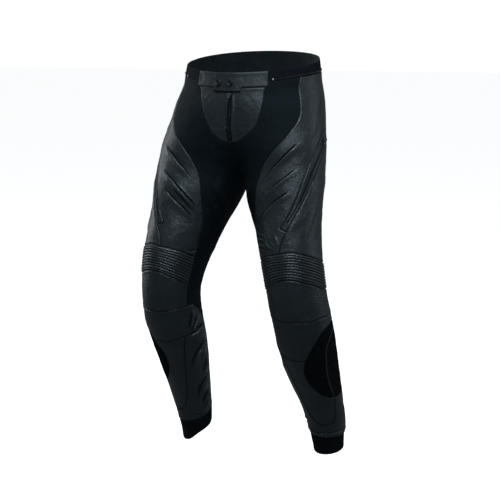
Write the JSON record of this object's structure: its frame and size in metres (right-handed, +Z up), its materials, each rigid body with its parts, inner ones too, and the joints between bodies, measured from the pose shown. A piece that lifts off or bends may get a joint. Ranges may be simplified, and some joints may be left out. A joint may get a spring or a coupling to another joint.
{
  "type": "motorcycle trousers",
  "caption": "Black leather motorcycle trousers with stretch panels, ribbed knees, raised thigh pleats and hook-and-loop knee patches, filled out as worn.",
  "frame": {"origin": "middle of the waist opening, where the wearer's waist holds the garment", "axes": "+Z up, -Y is the front that carries the fly, +X is the wearer's left"},
  "size_m": [0.4892, 0.2972, 0.9763],
  "materials": {
    "leather": "smooth black cowhide with a soft sheen",
    "stretch_cloth": "matte black stretch cloth",
    "waist_cloth": "matte black woven cloth",
    "pile": "black hook-and-loop pile",
    "pile_back": "brown-black hook-and-loop pile",
    "cuff_knit": "black stretch knit",
    "zip_tape": "black zip tape and coil",
    "dark_metal": "blackened metal",
    "bright_metal": "bright metal"
  },
  "bodies": {
    "trousers": {"calf_back_left": "stretch_cloth", "calf_back_right": "stretch_cloth", "calf_inner_left": "leather", "calf_inner_right": "leather", "calf_outer_left": "leather", "calf_outer_right": "leather", "connection_zip_left": "zip_tape", "connection_zip_right": "zip_tape", "cuff_left": "cuff_knit", "cuff_right": "cuff_knit", "end_stop_left": "bright_metal", "end_stop_right": "bright_metal", "fly_front_left": "leather", "fly_front_right": "leather", "fly_slider": "bright_metal", "fly_zip": "zip_tape", "knee_lower_left": "leather", "knee_lower_right": "leather", "knee_patch_back_left": "pile_back", "knee_patch_back_right": "pile_back", "knee_patch_front_left": "pile", "knee_patch_front_right": "pile", "knee_ribs_left": "leather", "knee_ribs_right": "leather", "knee_upper_left": "leather", "knee_upper_right": "leather", "pocket_slider_left": "dark_metal", "pocket_slider_right": "dark_metal", "pocket_strip_left": "leather", "pocket_strip_right": "leather", "pocket_zip_left": "zip_tape", "pocket_zip_right": "zip_tape", "seat_back_left": "leather", "seat_back_right": "leather", "shin_left": "leather", "shin_right": "leather", "snap_1": "dark_metal", "snap_2": "dark_metal", "stretch_front_left": "stretch_cloth", "stretch_front_right": "stretch_cloth", "thigh_front_left": "leather", "thigh_front_right": "leather", "thigh_outer_left": "leather", "thigh_outer_right": "leather", "waist_tab": "leather", "waistband_back": "leather", "waistband_front_left": "leather", "waistband_front_right": "leather", "waistband_side_left": "waist_cloth", "waistband_side_right": "waist_cloth"},
    "pocket_pull_left": {"pocket_pull_left": "dark_metal"},
    "pocket_pull_right": {"pocket_pull_right": "dark_metal"},
    "fly_pull": {"fly_pull": "bright_metal"}
  },
  "joints": [
    {"name": "pocket_pull_left_hinge", "type": "hinge", "parent": "trousers", "child": "pocket_pull_left", "pos_m": [0.20733, -0.02828, -0.17895], "axis": [0.0005, -0.5785, 0.8157], "range_deg": [0, 100]},
    {"name": "pocket_pull_right_hinge", "type": "hinge", "parent": "trousers", "child": "pocket_pull_right", "pos_m": [-0.20733, -0.02828, -0.17895], "axis": [0.0005, 0.5785, -0.8157], "range_deg": [0, 100]},
    {"name": "fly_pull_hinge", "type": "hinge", "parent": "trousers", "child": "fly_pull", "pos_m": [0.00243, -0.12882, -0.0743], "axis": [-0.9769, 0.0235, 0.2124], "range_deg": [0, 100]}
  ]
}
